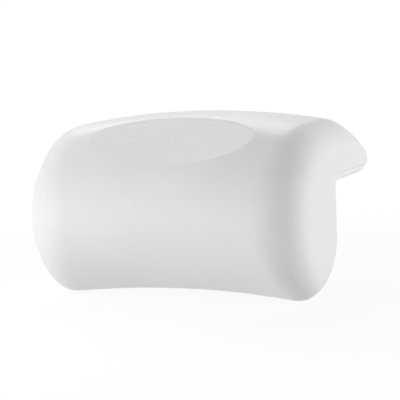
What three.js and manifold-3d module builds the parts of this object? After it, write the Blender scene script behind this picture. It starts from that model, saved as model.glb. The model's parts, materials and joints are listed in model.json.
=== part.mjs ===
// Bath pillow: a soft moulded body that hooks over the rim of a bath.
// Millimetres, +Z up. X runs along the width and -Y is the front, where the head lies.
// Sizes are taken from the hook's inner corner, where the lip's underside (z = 0) meets the
// back (y = 0). The finished group is moved so that its origin is the middle of the rim seat.

import * as THREE from 'three';
import { mergeVertices } from 'three/addons/utils/BufferGeometryUtils.js';
import Module from 'manifold-3d';

// Overall form, measured at the ends of the pillow
const PILLOW_WIDTH = 280; // end to end
const BODY_DEPTH = 115; // back plane to the front-most line
const PILLOW_HEIGHT = 159.5; // lowest line to the crown line
const BROW_DEPTH = 76; // back plane to the brow, where the front turns into the top
const BROW_RISE = 35; // lip's underside up to the brow
const BROW_SLOPE = THREE.MathUtils.degToRad(40); // how steeply the surface climbs there
const CROWN_RISE = 52.5; // lip's underside up to the crown line
const CROWN_SETBACK = 26; // back plane to the crown line
const LIP_REACH = 94; // back plane to the lip's rear edge
const NOSE_HEIGHT = 11; // height of the lip's rear edge, where the rounding under it starts
const NOSE_RUN = 24; // how far that rounding runs forwards
const BACK_FLAT = 50; // height of the flat back below the lip
const LOW_LINE = 46; // back plane to the lowest line
const BELLY_DROP = 34; // lip's underside down to the front-most line
const RIM_SEAT_SETBACK = 47; // back plane to the middle of the rim seat

// What changes towards the middle of the width
const TOP_ARCH = 12.5; // rise of the crown
const BOTTOM_ARCH = 8; // lift of the lowest line
const FRONT_HOLLOW = 28; // draw-in of the front

// Rolled edges of the two ends, round the side profile
const ROLL_BACK = 4;
const ROLL_BOTTOM = 28;
const ROLL_FRONT = 46;
const ROLL_BROW = 35;
const ROLL_TOP = 22;
const ROLL_NOSE = 5;
const LEAST_ROLL = 1;
const ROLL_CHORD = 60; // the roll leads inwards square to a chord of the profile this long

// Fullness of the profile's curves: the share of its span that each handle runs along
const LOW_BACK_FULL = [0.45, 0.61];
const LOW_FRONT_FULL = [0.33, 0.46];
const FRONT_FULL = [0.65, 0.19];
const BROW_FULL = [0.23, 0.61];
const TOP_FULL = [0.37, 0.33];

// Layers
const SKIN = 2.5; // moulded skin
const CLEARANCE = 0.3; // gap between neighbouring pieces

// Head pad: an oval dish that faces forwards and up
const DISH_TILT = THREE.MathUtils.degToRad(50); // facing direction above the horizontal
const DISH_SLIDE = 6.8; // brow to the dish's lowest point, up its slope
const DISH_OFFSET = 9.7; // the same, inwards
const DISH_HALF_WIDTH = 83;
const DISH_HALF_HEIGHT = 29;
const DISH_BOW = 2.8; // droop of the oval's tips
const DISH_RADIUS_ALONG = 282; // hollowing along the width
const DISH_RADIUS_ACROSS = 114; // hollowing up the slope
const PAD_THICKNESS = 3;

// Suction cups
const CUP_RADIUS = 17;
const CUP_RING = 1.6; // width of the flat sealing ring
const CUP_EDGE = 0.9; // thickness at the rim
const CUP_HOLLOW = 3.5; // depth of the hollow
const CUP_WALL = 2; // rubber between the hollow and the stud
const CUP_PROUD = 4; // how far the ring stands out of its plate
const CUP_TRAVEL = 2.5; // how far it can be pressed in
const CUP_ROOM = 1.2; // room round the cup in its recess
const CUP_FLOOR_ROOM = 0.5; // room under the cup when it is pressed in
const STUD_RADIUS = 3.5;
const STUD_SHOULDER = 1.1; // width of the cone between the cup and its stud
const STUD_HEAD_STEP = 1.1; // how far the snap head stands out round the stud
const STUD_HEAD_LENGTH = 3;
const STUD_HEAD_TAPER = 1.4; // how much the snap head narrows to its tip
const LIP_CUP_INSET = 55; // pillow's end to the cup's axis
const LIP_CUP_SETBACK = 48; // back plane to the cup's axis
const BACK_CUP_INSET = 60; // pillow's end to the cup's axis
const BACK_CUP_DROP = 22; // lip's underside to the cup's axis

// Plates
const RECESS_FLOOR = 2; // plate left under a cup's recess
const BACK_BORDER = 25; // pillow's end to the back plate's end
const BACK_MARGIN = 6; // end of the flat back to the back plate's lower edge
const BACK_CORNER = 9; // radius of the back plate's lower corners

// Snap bushes
const BUSH_WALL = 1.2;
const BUSH_COLLAR = 2.5; // length of the narrow bore that the snap head grips
const BUSH_FLANGE_STEP = 2.9; // how far the flange stands out round the bush
const BUSH_FLANGE = 1.5;

// Steel brackets and their screws
const BRACKET_WIDTH = 24;
const BRACKET_THICKNESS = 2;
const BRACKET_SPACING = 76; // centre to centre
const LIP_LEG = 66; // back plane to the end of the leg along the lip
const BACK_LEG = 38; // lip's underside to the end of the leg down the back
const SCREW_ROOT = 18; // back plane to the lip leg's first screw
const SCREW_TOP = 9; // lip's underside to the back leg's first screw
const SCREW_EDGE = 9; // end of a leg to its last screw
const SCREW_RADIUS = 2;
const SCREW_HEAD_RADIUS = 4;
const SCREW_HEAD = 2.2; // height of the countersunk head
const SCREW_SINK = 0.4; // depth of the head below the plate's face
const SOCKET_RADIUS = 1.4; // hexagon socket, across corners
const SOCKET_DEPTH = 1.3;

// Sizes that follow from the ones above
const BODY_DROP = PILLOW_HEIGHT - CROWN_RISE; // lip's underside down to the lowest line
const CUP_DEPTH = CUP_HOLLOW + CUP_WALL;
const RECESS_DEPTH = CUP_DEPTH - CUP_PROUD + CUP_TRAVEL + CUP_FLOOR_ROOM;
const PLATE = RECESS_DEPTH + RECESS_FLOOR;
const RECESS_RADIUS = CUP_RADIUS + CUP_ROOM;
const STUD_ROOT = STUD_RADIUS + STUD_SHOULDER;
const STUD_CONE = STUD_SHOULDER / 2;
const STUD_HEAD_RADIUS = STUD_RADIUS + STUD_HEAD_STEP;
const COLLAR_END = RECESS_DEPTH + BUSH_COLLAR;
const HEAD_START = COLLAR_END + CLEARANCE;
const BUSH_END = HEAD_START + STUD_HEAD_LENGTH + CUP_TRAVEL + CUP_FLOOR_ROOM;
const BUSH_RADIUS = STUD_HEAD_RADIUS + CLEARANCE + BUSH_WALL;
const FLANGE_RADIUS = BUSH_RADIUS + BUSH_FLANGE_STEP;
const FLANGE_START = PLATE + CLEARANCE;
const BACK_PLATE_END = PILLOW_WIDTH / 2 - BACK_BORDER;
const BACK_PLATE_DROP = BACK_FLAT - BACK_MARGIN;
const SCREW_LENGTH = PLATE + CLEARANCE + BRACKET_THICKNESS;

// How finely round shapes are faceted
const BACK_STEPS = 2;
const LOW_BACK_STEPS = 5;
const LOW_FRONT_STEPS = 7;
const FRONT_STEPS = 5;
const BROW_STEPS = 5;
const TOP_STEPS = 6;
const NOSE_STEPS = 3;
const UNDER_STEPS = 4;
const LENGTH_STEPS = 20; // parts that each step is split into to measure its length
const SEEN_STEPS = [3, 4]; // along half the straight width, and round a rolled end
const HIDDEN_STEPS = [2, 2]; // the same, for faces inside the skin
const CORNER_STEPS = 6;
const CUP_SIDES = 20;
const RECESS_SIDES = 24;
const SMALL_SIDES = 12;
const SOCKET_SIDES = 6;
const PAD_SIDES = 32;
const PAD_RINGS = 3;
const HOLLOW_STOPS = [0, 0.45, 0.8]; // shares of the radius at which a cup's hollow has a ring
const DOME_STOPS = [0.85, 0.6, 0.3]; // the same, for its domed back
const MERGE = 1e-4;
const OVERCUT = 20; // how far a cutter runs past the face that it opens

const wasm = await Module();
wasm.setup();

// A closed geometry as a solid for cutting and joining
function solid(geometry) {
  const bare = geometry.clone();
  bare.deleteAttribute('normal');
  bare.deleteAttribute('uv');
  const merged = mergeVertices(bare, MERGE);
  const corners = merged.index.array;
  const kept = [];
  for (let i = 0; i < corners.length; i += 3) {
    const [a, b, c] = [corners[i], corners[i + 1], corners[i + 2]];
    if (a !== b && b !== c && c !== a) kept.push(a, b, c);
  }
  return new wasm.Manifold(new wasm.Mesh({
    numProp: 3,
    vertProperties: new Float32Array(merged.attributes.position.array),
    triVerts: new Uint32Array(kept),
  }));
}

function geometryOf(body) {
  const mesh = body.getMesh();
  const geometry = new THREE.BufferGeometry();
  geometry.setAttribute('position', new THREE.BufferAttribute(mesh.vertProperties, 3));
  geometry.setIndex(new THREE.BufferAttribute(mesh.triVerts, 1));
  return geometry;
}

function cutAll(body, cutters) {
  return cutters.reduce((rest, cutter) => rest.subtract(cutter), body);
}

// A box between two corners
function box(low, high) {
  const size = new THREE.Vector3().subVectors(high, low);
  const middle = new THREE.Vector3().addVectors(low, high).multiplyScalar(0.5);
  return new THREE.BoxGeometry(size.x, size.y, size.z).translate(middle.x, middle.y, middle.z);
}

// A turned shape from [radius, depth] pairs, shallowest first. Depth runs inwards, along local -Z.
function turned(pairs, sides) {
  const points = pairs.map(([radius, depth]) => new THREE.Vector2(radius, -depth)).reverse();
  return new THREE.LatheGeometry(points, sides).rotateX(Math.PI / 2);
}

// One bend of the side profile, from a to b, upright at one end and level at the other
function bend(a, b, startsUpright, [shareA, shareB]) {
  const step = b.clone().sub(a);
  const nearA = a.clone();
  const nearB = b.clone();
  if (startsUpright) {
    nearA.y += shareA * step.y;
    nearB.x -= shareB * step.x;
  } else {
    nearA.x += shareA * step.x;
    nearB.y -= shareB * step.y;
  }
  return new THREE.CubicBezierCurve(a, nearA, nearB, b);
}

// Side views are drawn in plane points: x is the pillow's Y, y is its Z
const brow = new THREE.Vector2(-BROW_DEPTH, BROW_RISE);

// The profile's front and top, which climb at a set slope where they meet at the brow
function browCurves(belly, crown) {
  const climb = new THREE.Vector2(Math.cos(BROW_SLOPE), Math.sin(BROW_SLOPE));
  const front = bend(belly, brow, true, FRONT_FULL);
  const top = bend(brow, crown, true, BROW_FULL);
  front.v2.copy(brow).addScaledVector(climb, -FRONT_FULL[1] * belly.distanceTo(brow));
  top.v1.copy(brow).addScaledVector(climb, BROW_FULL[0] * brow.distanceTo(crown));
  return [front, top];
}

// The side profile as points, each with the roll of its edge and the direction that leads inwards.
// It runs down the back, round the front, over the crown and back under the lip.
function sideProfile() {
  const corner = new THREE.Vector2(0, 0);
  const backLow = new THREE.Vector2(0, -BACK_FLAT);
  const lowest = new THREE.Vector2(-LOW_LINE, -BODY_DROP);
  const belly = new THREE.Vector2(-BODY_DEPTH, -BELLY_DROP);
  const crown = new THREE.Vector2(CROWN_SETBACK, CROWN_RISE);
  const [front, top] = browCurves(belly, crown);
  const nose = new THREE.Vector2(LIP_REACH, NOSE_HEIGHT);
  const noseUnder = new THREE.Vector2(LIP_REACH - NOSE_RUN, 0);
  const noseArc = new THREE.EllipseCurve(
    noseUnder.x, NOSE_HEIGHT, NOSE_RUN, NOSE_HEIGHT, 0, -Math.PI / 2, true,
  );
  const stretches = [
    [new THREE.LineCurve(corner, backLow), BACK_STEPS, ROLL_BACK, ROLL_BACK],
    [bend(backLow, lowest, true, LOW_BACK_FULL), LOW_BACK_STEPS, ROLL_BACK, ROLL_BOTTOM],
    [bend(lowest, belly, false, LOW_FRONT_FULL), LOW_FRONT_STEPS, ROLL_BOTTOM, ROLL_FRONT],
    [front, FRONT_STEPS, ROLL_FRONT, ROLL_BROW],
    [top, BROW_STEPS, ROLL_BROW, ROLL_TOP],
    [bend(crown, nose, false, TOP_FULL), TOP_STEPS, ROLL_TOP, ROLL_NOSE],
    [noseArc, NOSE_STEPS, ROLL_NOSE, ROLL_NOSE],
    [new THREE.LineCurve(noseUnder, corner), UNDER_STEPS, ROLL_NOSE, ROLL_BACK],
  ];
  const whole = new THREE.CurvePath();
  for (const [curve] of stretches) whole.add(curve);
  const round = whole.getLength();
  const pointAt = (length) => whole.getPoint(THREE.MathUtils.euclideanModulo(length, round) / round);
  const points = [];
  let passed = 0;
  for (const [curve, steps, rollFrom, rollTo] of stretches) {
    const lengths = curve.getLengths(steps * LENGTH_STEPS);
    for (let i = 0; i < steps; i += 1) {
      const share = i / steps;
      const length = passed + lengths[i * LENGTH_STEPS];
      const chord = pointAt(length + ROLL_CHORD / 2).sub(pointAt(length - ROLL_CHORD / 2)).normalize();
      const point = curve.getPoint(share);
      point.roll = THREE.MathUtils.lerp(rollFrom, rollTo, THREE.MathUtils.smoothstep(share, 0, 1));
      point.inward = new THREE.Vector2(chord.y, -chord.x); // the inside lies on the profile's right
      points.push(point);
    }
    passed += lengths.at(-1);
  }
  return points;
}

// Arches the crown and the lowest line, and hollows the front, towards the middle of the width
function archPoint(x, y, z) {
  const share = 1 - (x / (PILLOW_WIDTH / 2)) ** 2;
  const lift = z > 0 ? (TOP_ARCH * z) / CROWN_RISE : (-BOTTOM_ARCH * z) / BODY_DROP;
  const drawIn = FRONT_HOLLOW * Math.max(0, -y / BODY_DEPTH);
  return [x, y + share * drawIn, z + share * lift];
}

// The pillow's whole form, drawn in on all sides by inset
function formGeometry(inset, [straightSteps, rollSteps]) {
  const profile = sideProfile();
  const endX = PILLOW_WIDTH / 2 - inset;
  const count = profile.length;
  const rings = [];
  const ringAt = (side, shareX, angle) => profile.map((point) => {
    const roll = Math.max(LEAST_ROLL, point.roll - inset);
    const x = shareX * (endX - roll) + roll * Math.sin(angle);
    const drawn = point.clone().addScaledVector(point.inward, inset + roll * (1 - Math.cos(angle)));
    return archPoint(side * x, drawn.x, drawn.y);
  });
  for (let i = rollSteps; i > 0; i -= 1) rings.push(ringAt(-1, 1, (i / rollSteps) * (Math.PI / 2)));
  for (let i = -straightSteps; i <= straightSteps; i += 1) rings.push(ringAt(1, i / straightSteps, 0));
  for (let i = 1; i <= rollSteps; i += 1) rings.push(ringAt(1, 1, (i / rollSteps) * (Math.PI / 2)));

  const index = [];
  for (let r = 0; r < rings.length - 1; r += 1) {
    for (let i = 0; i < count; i += 1) {
      const next = (i + 1) % count;
      const [a, b, c, d] = [r * count + i, r * count + next, (r + 1) * count + i, (r + 1) * count + next];
      index.push(a, c, b, b, c, d);
    }
  }
  const last = (rings.length - 1) * count;
  const outline = rings[0].map(([, y, z]) => new THREE.Vector2(y, z));
  for (const [a, b, c] of THREE.ShapeUtils.triangulateShape(outline, [])) {
    index.push(a, c, b, last + a, last + b, last + c);
  }
  const geometry = new THREE.BufferGeometry();
  geometry.setAttribute('position', new THREE.Float32BufferAttribute(rings.flat(2), 3));
  geometry.setIndex(index);
  return geometry;
}

// The dish's directions in the side view, and its lowest point, which goes with the brow
const dishOut = new THREE.Vector2(-Math.cos(DISH_TILT), Math.sin(DISH_TILT));
const dishUp = new THREE.Vector2(Math.sin(DISH_TILT), Math.cos(DISH_TILT));

function dishCentre() {
  const [, y, z] = archPoint(0, brow.x, brow.y);
  return new THREE.Vector2(y, z).addScaledVector(dishUp, DISH_SLIDE).addScaledVector(dishOut, -DISH_OFFSET);
}

// An oval block in the dish's tilted frame, between two heights above the dish's surface
function dishBlock(grow, below, above) {
  const centre = dishCentre();
  const rings = [];
  const ringAt = (share, height) => {
    const ring = [];
    for (let i = 0; i < PAD_SIDES; i += 1) {
      const angle = (i / PAD_SIDES) * 2 * Math.PI;
      const x = share * (DISH_HALF_WIDTH + grow) * Math.cos(angle);
      const droop = DISH_BOW * (x / DISH_HALF_WIDTH) ** 2;
      const slope = share * (DISH_HALF_HEIGHT + grow) * Math.sin(angle) - droop;
      const curl = x ** 2 / (2 * DISH_RADIUS_ALONG) + slope ** 2 / (2 * DISH_RADIUS_ACROSS);
      const point = centre.clone().addScaledVector(dishUp, slope).addScaledVector(dishOut, curl + height);
      ring.push([x, point.x, point.y]);
    }
    return ring;
  };
  for (let r = 1; r <= PAD_RINGS; r += 1) rings.push(ringAt(r / PAD_RINGS, below));
  for (let r = PAD_RINGS; r >= 1; r -= 1) rings.push(ringAt(r / PAD_RINGS, above));
  const positions = [ringAt(0, below)[0], ...rings.flat(), ringAt(0, above)[0]];
  const index = [];
  const top = positions.length - 1;
  const lastRing = 1 + (rings.length - 1) * PAD_SIDES;
  for (let i = 0; i < PAD_SIDES; i += 1) {
    const next = (i + 1) % PAD_SIDES;
    index.push(0, 1 + next, 1 + i);
    index.push(top, lastRing + i, lastRing + next);
    for (let r = 0; r < rings.length - 1; r += 1) {
      const here = 1 + r * PAD_SIDES;
      const there = here + PAD_SIDES;
      index.push(here + i, here + next, there + i, here + next, there + next, there + i);
    }
  }
  const geometry = new THREE.BufferGeometry();
  geometry.setAttribute('position', new THREE.Float32BufferAttribute(positions.flat(), 3));
  geometry.setIndex(index);
  return geometry;
}

// Where things are fixed to the plates. Local +Z points out of the plate, and depth 0 is its face.
const FACING = {
  lip: new THREE.Euler(Math.PI, 0, 0),
  back: new THREE.Euler(-Math.PI / 2, 0, 0),
};

function seat(plate, x, run) {
  const place = plate === 'lip' ? new THREE.Vector3(x, run, 0) : new THREE.Vector3(x, 0, -run);
  const turn = new THREE.Quaternion().setFromEuler(FACING[plate]);
  return new THREE.Matrix4().compose(place, turn, new THREE.Vector3(1, 1, 1));
}

const SIDES = [['left', -1], ['right', 1]];
const cupSeats = [];
const screwSeats = [];
for (const [word, sign] of SIDES) {
  const lipX = sign * (PILLOW_WIDTH / 2 - LIP_CUP_INSET);
  const backX = sign * (PILLOW_WIDTH / 2 - BACK_CUP_INSET);
  cupSeats.push({ name: `lip_${word}`, plate: 'lip', at: seat('lip', lipX, LIP_CUP_SETBACK) });
  cupSeats.push({ name: `back_${word}`, plate: 'back', at: seat('back', backX, BACK_CUP_DROP) });
  const x = (sign * BRACKET_SPACING) / 2;
  const runs = { lip: [SCREW_ROOT, LIP_LEG - SCREW_EDGE], back: [SCREW_TOP, BACK_LEG - SCREW_EDGE] };
  for (const plate of ['lip', 'back']) {
    runs[plate].forEach((run, i) => {
      screwSeats.push({ name: `${plate}_${word}_${i + 1}`, plate, at: seat(plate, x, run) });
    });
  }
}

function cupGeometry() {
  const inner = CUP_RADIUS - CUP_RING;
  const hollow = HOLLOW_STOPS.map((share) => [
    share * inner, -CUP_PROUD + CUP_HOLLOW * (1 - share ** 2),
  ]);
  const backDepth = CUP_DEPTH - CUP_PROUD;
  const back = DOME_STOPS.map((share) => [
    STUD_ROOT + share * (CUP_RADIUS - STUD_ROOT),
    backDepth - (CUP_DEPTH - CUP_EDGE) * share ** 2,
  ]);
  return turned([
    ...hollow,
    [inner, -CUP_PROUD],
    [CUP_RADIUS, -CUP_PROUD],
    [CUP_RADIUS, -CUP_PROUD + CUP_EDGE],
    ...back,
    [STUD_ROOT, backDepth],
    [STUD_RADIUS, backDepth + STUD_CONE],
    [STUD_RADIUS, HEAD_START],
    [STUD_HEAD_RADIUS, HEAD_START],
    [STUD_HEAD_RADIUS, HEAD_START + STUD_HEAD_LENGTH / 2],
    [STUD_HEAD_RADIUS - STUD_HEAD_TAPER, HEAD_START + STUD_HEAD_LENGTH],
    [0, HEAD_START + STUD_HEAD_LENGTH],
  ], CUP_SIDES);
}

// A bush has a wide mouth for the cone of the stud, a neck that grips it and a chamber for its head
function bushGeometry() {
  const mouth = STUD_ROOT + CLEARANCE;
  const neck = STUD_RADIUS + CLEARANCE;
  const chamber = STUD_HEAD_RADIUS + CLEARANCE;
  return turned([
    [mouth, RECESS_DEPTH],
    [BUSH_RADIUS, RECESS_DEPTH],
    [BUSH_RADIUS, FLANGE_START],
    [FLANGE_RADIUS, FLANGE_START],
    [FLANGE_RADIUS, FLANGE_START + BUSH_FLANGE],
    [BUSH_RADIUS, FLANGE_START + BUSH_FLANGE],
    [BUSH_RADIUS, BUSH_END],
    [chamber, BUSH_END],
    [chamber, COLLAR_END],
    [neck, COLLAR_END],
    [neck, RECESS_DEPTH + STUD_CONE],
    [mouth, RECESS_DEPTH],
  ], SMALL_SIDES);
}

// The room that a bush takes up in the foam
function bushPocket() {
  const flange = FLANGE_RADIUS + CLEARANCE;
  const barrel = BUSH_RADIUS + CLEARANCE;
  const flangeEnd = FLANGE_START + BUSH_FLANGE + CLEARANCE;
  return turned([
    [0, 0],
    [flange, 0],
    [flange, flangeEnd],
    [barrel, flangeEnd],
    [barrel, BUSH_END + CLEARANCE],
    [0, BUSH_END + CLEARANCE],
  ], SMALL_SIDES);
}

// The recess and the bush's hole that a cup needs in its plate
function cupRecess() {
  const hole = BUSH_RADIUS + CLEARANCE;
  return turned([
    [0, -OVERCUT],
    [RECESS_RADIUS, -OVERCUT],
    [RECESS_RADIUS, RECESS_DEPTH],
    [hole, RECESS_DEPTH],
    [hole, PLATE + CLEARANCE],
    [0, PLATE + CLEARANCE],
  ], RECESS_SIDES);
}

function screwGeometry() {
  const blank = turned([
    [0, SCREW_SINK],
    [SCREW_HEAD_RADIUS, SCREW_SINK],
    [SCREW_RADIUS, SCREW_SINK + SCREW_HEAD],
    [SCREW_RADIUS, SCREW_LENGTH],
    [0, SCREW_LENGTH],
  ], SMALL_SIDES);
  const socket = turned([
    [0, -OVERCUT],
    [SOCKET_RADIUS, -OVERCUT],
    [SOCKET_RADIUS, SCREW_SINK + SOCKET_DEPTH],
    [0, SCREW_SINK + SOCKET_DEPTH],
  ], SOCKET_SIDES);
  return geometryOf(solid(blank).subtract(solid(socket)));
}

// The countersunk hole that a screw needs in its plate and bracket
function screwHole() {
  const shank = SCREW_RADIUS + CLEARANCE;
  const head = SCREW_HEAD_RADIUS + CLEARANCE;
  return turned([
    [0, -OVERCUT],
    [head, -OVERCUT],
    [head, SCREW_SINK],
    [shank, SCREW_SINK + SCREW_HEAD],
    [shank, SCREW_LENGTH + CLEARANCE],
    [0, SCREW_LENGTH + CLEARANCE],
  ], SMALL_SIDES);
}

// A bracket's L, grown on all sides for the pocket that it lies in
function bracketGeometry(x, grow) {
  const near = PLATE + CLEARANCE - grow;
  const far = PLATE + CLEARANCE + BRACKET_THICKNESS + grow;
  const outline = new THREE.Shape();
  outline.moveTo(-near, near);
  outline.lineTo(LIP_LEG + grow, near);
  outline.lineTo(LIP_LEG + grow, far);
  outline.lineTo(-near, far);
  outline.absarc(-near, near, far - near, Math.PI / 2, Math.PI, false);
  outline.lineTo(-far, -BACK_LEG - grow);
  outline.lineTo(-near, -BACK_LEG - grow);
  const width = BRACKET_WIDTH + 2 * grow;
  const geometry = new THREE.ExtrudeGeometry(outline, {
    depth: width, bevelEnabled: false, curveSegments: CORNER_STEPS,
  });
  // The shape's x, y and extrusion become the pillow's Y, Z and X
  const turn = new THREE.Matrix4().makeBasis(
    new THREE.Vector3(0, 1, 0), new THREE.Vector3(0, 0, 1), new THREE.Vector3(1, 0, 0),
  );
  return geometry.applyMatrix4(turn).translate(x - width / 2, 0, 0);
}

// The back plate's block, grown on all sides for the pocket that it lies in
function backBlock(grow) {
  const side = BACK_PLATE_END + grow;
  const low = -BACK_PLATE_DROP - grow;
  const radius = BACK_CORNER + grow;
  const outline = new THREE.Shape();
  outline.moveTo(side, PLATE + grow);
  outline.lineTo(-side, PLATE + grow);
  outline.lineTo(-side, low + radius);
  outline.absarc(-side + radius, low + radius, radius, Math.PI, 1.5 * Math.PI, false);
  outline.lineTo(side - radius, low);
  outline.absarc(side - radius, low + radius, radius, 1.5 * Math.PI, 2 * Math.PI, false);
  const geometry = new THREE.ExtrudeGeometry(outline, {
    depth: PLATE + grow + OVERCUT, bevelEnabled: false, curveSegments: CORNER_STEPS,
  });
  // Extruded along -Y, from outside the back into the body
  return geometry.rotateX(Math.PI / 2).translate(0, OVERCUT, 0);
}

const outerForm = solid(formGeometry(0, SEEN_STEPS));
const innerForm = solid(formGeometry(SKIN, HIDDEN_STEPS));
const coreForm = solid(formGeometry(SKIN + CLEARANCE, HIDDEN_STEPS));

const farSide = PILLOW_WIDTH;
const lipZone = (clear) => solid(box(
  new THREE.Vector3(-farSide, CLEARANCE - clear, -OVERCUT),
  new THREE.Vector3(farSide, LIP_REACH + OVERCUT, PLATE + clear),
));
const behindBack = solid(box(
  new THREE.Vector3(-farSide, 0, -BODY_DROP - OVERCUT),
  new THREE.Vector3(farSide, LIP_REACH + OVERCUT, CROWN_RISE),
));
const padSeat = (wall) => solid(dishBlock(CLEARANCE + wall, -PAD_THICKNESS - CLEARANCE - wall, CROWN_RISE));
const placed = (geometry, seats) => seats.map(({ at }) => solid(geometry.clone().applyMatrix4(at)));
const onPlate = (seats, plate) => seats.filter((one) => one.plate === plate);
const plateCuts = (plate) => [
  ...placed(cupRecess(), onPlate(cupSeats, plate)),
  ...placed(screwHole(), onPlate(screwSeats, plate)),
];
const bracketX = SIDES.map(([, sign]) => (sign * BRACKET_SPACING) / 2);

function outerSkin() {
  const hollow = innerForm.subtract(padSeat(SKIN));
  return cutAll(outerForm, [hollow, padSeat(0), lipZone(CLEARANCE), solid(backBlock(CLEARANCE))]);
}

function foamCore() {
  return cutAll(coreForm, [
    padSeat(SKIN + CLEARANCE),
    lipZone(CLEARANCE),
    solid(backBlock(CLEARANCE)),
    ...bracketX.map((x) => solid(bracketGeometry(x, CLEARANCE))),
    ...placed(bushPocket(), cupSeats),
  ]);
}

function lipPlate() {
  return cutAll(outerForm.intersect(lipZone(0)), plateCuts('lip'));
}

function backPlate() {
  return cutAll(solid(backBlock(0)), [behindBack, ...plateCuts('back')]);
}

function bracket(x) {
  return cutAll(solid(bracketGeometry(x, 0)), placed(screwHole(), screwSeats));
}

const materials = {
  skin: { color: 0xf3f3f2, roughness: 0.5, metalness: 0 },
  foam: { color: 0xeeeae0, roughness: 0.95, metalness: 0 },
  pad: { color: 0xf0f0ef, roughness: 0.7, metalness: 0 },
  plate: { color: 0xededec, roughness: 0.45, metalness: 0 },
  bush: { color: 0xd8dadb, roughness: 0.4, metalness: 0 },
  cup: { color: 0xd5dadb, roughness: 0.3, metalness: 0 },
  steel: { color: 0xb9bbbd, roughness: 0.3, metalness: 1 },
};

const pillow = new THREE.Group();

function add(name, geometry, finish, at = new THREE.Matrix4()) {
  const mesh = new THREE.Mesh(geometry, new THREE.MeshStandardMaterial(materials[finish]));
  mesh.name = name;
  mesh.applyMatrix4(at);
  pillow.add(mesh);
}

add('outer_skin', geometryOf(outerSkin()), 'skin');
add('foam_core', geometryOf(foamCore()), 'foam');
add('head_pad', dishBlock(0, -PAD_THICKNESS, 0), 'pad');
add('lip_plate', geometryOf(lipPlate()), 'plate');
add('back_plate', geometryOf(backPlate()), 'plate');
SIDES.forEach(([word], i) => add(`bracket_${word}`, geometryOf(bracket(bracketX[i])), 'steel'));
for (const { name, at } of screwSeats) add(`screw_${name}`, screwGeometry(), 'steel', at);
for (const { name, at } of cupSeats) add(`bush_${name}`, bushGeometry(), 'bush', at);
for (const { name, at } of cupSeats) add(`cup_${name}`, cupGeometry(), 'cup', at);

pillow.position.y = -RIM_SEAT_SETBACK;

export default pillow;
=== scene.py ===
"""Looks of the bath pillow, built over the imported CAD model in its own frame."""

import json
import math

import bmesh
import bpy
import numpy as np
from mathutils import Matrix, Vector, geometry


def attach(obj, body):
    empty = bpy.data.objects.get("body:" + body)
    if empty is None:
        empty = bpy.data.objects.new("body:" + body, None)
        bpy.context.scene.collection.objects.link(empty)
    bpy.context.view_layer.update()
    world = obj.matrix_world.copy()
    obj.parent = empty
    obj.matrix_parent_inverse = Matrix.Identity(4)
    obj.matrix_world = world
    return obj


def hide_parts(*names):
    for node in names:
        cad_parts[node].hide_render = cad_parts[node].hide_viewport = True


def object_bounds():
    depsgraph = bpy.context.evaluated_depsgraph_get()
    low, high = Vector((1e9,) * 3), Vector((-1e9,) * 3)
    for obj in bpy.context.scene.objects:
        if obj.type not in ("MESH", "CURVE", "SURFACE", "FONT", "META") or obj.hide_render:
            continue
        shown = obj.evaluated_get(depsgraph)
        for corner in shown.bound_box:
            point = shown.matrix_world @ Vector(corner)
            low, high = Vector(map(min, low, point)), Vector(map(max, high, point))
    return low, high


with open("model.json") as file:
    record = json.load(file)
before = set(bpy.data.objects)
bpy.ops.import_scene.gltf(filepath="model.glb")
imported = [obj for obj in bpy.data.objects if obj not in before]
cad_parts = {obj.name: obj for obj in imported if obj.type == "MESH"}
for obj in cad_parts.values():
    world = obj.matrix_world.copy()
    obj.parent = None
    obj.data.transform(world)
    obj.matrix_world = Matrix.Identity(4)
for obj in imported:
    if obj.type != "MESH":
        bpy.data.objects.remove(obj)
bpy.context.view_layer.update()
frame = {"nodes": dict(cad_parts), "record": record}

MM_IN_METRE = 1000.0
SIDES = (("left", -1), ("right", 1))

# Overall form at the pillow's ends, in millimetres from the hook's inner corner,
# where the lip's underside (z = 0) meets the back (y = 0)
WIDTH = 280.0  # end to end
DEPTH = 115.0  # back to the front-most line
HEIGHT = 159.5  # lowest line to the crown line
BROW_DEPTH = 76.0  # back to the brow, where the front turns into the top
BROW_RISE = 35.0  # lip's underside up to the brow
BROW_SLOPE = math.radians(40)  # how steeply the surface climbs there
CROWN_RISE = 52.5  # lip's underside up to the crown line
CROWN_SETBACK = 26.0  # back to the crown line
LIP_REACH = 94.0  # back to the lip's rear edge
NOSE_HEIGHT = 11.0  # height of the lip's rear edge, where the rounding under it starts
NOSE_RUN = 24.0  # how far that rounding runs forwards
BACK_FLAT = 50.0  # height of the flat back below the lip
LOW_LINE = 46.0  # back to the lowest line
BELLY_DROP = 34.0  # lip's underside down to the front-most line
SEAT_SETBACK = 47.0  # back to the middle of the rim seat, the part's origin

# What changes towards the middle of the width
TOP_ARCH = 12.5  # rise of the crown
BOTTOM_ARCH = 8.0  # lift of the lowest line
FRONT_HOLLOW = 28.0  # draw-in of the front

# Rolled edges of the two ends, round the side profile
ROLL_BACK = 4.0
ROLL_BOTTOM = 28.0
ROLL_FRONT = 46.0
ROLL_BROW = 35.0
ROLL_TOP = 22.0
ROLL_NOSE = 5.0
ROLL_CHORD = 60.0  # the roll leads inwards square to a chord of the profile this long

# Fullness of the profile's curves: the share of its span that each handle runs along
LOW_BACK_FULL = (0.45, 0.61)
LOW_FRONT_FULL = (0.33, 0.46)
FRONT_FULL = (0.65, 0.19)
BROW_FULL = (0.23, 0.61)
TOP_FULL = (0.37, 0.33)

# Steps along each stretch of the profile
BACK_STEPS = 18
LOW_BACK_STEPS = 30
LOW_FRONT_STEPS = 36
FRONT_STEPS = 34
BROW_STEPS = 48
TOP_STEPS = 36
NOSE_STEPS = 20
UNDER_STEPS = 24

# Layers
SKIN = 2.5  # moulded skin
CLEARANCE = 0.3  # gap between neighbouring solids

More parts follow.
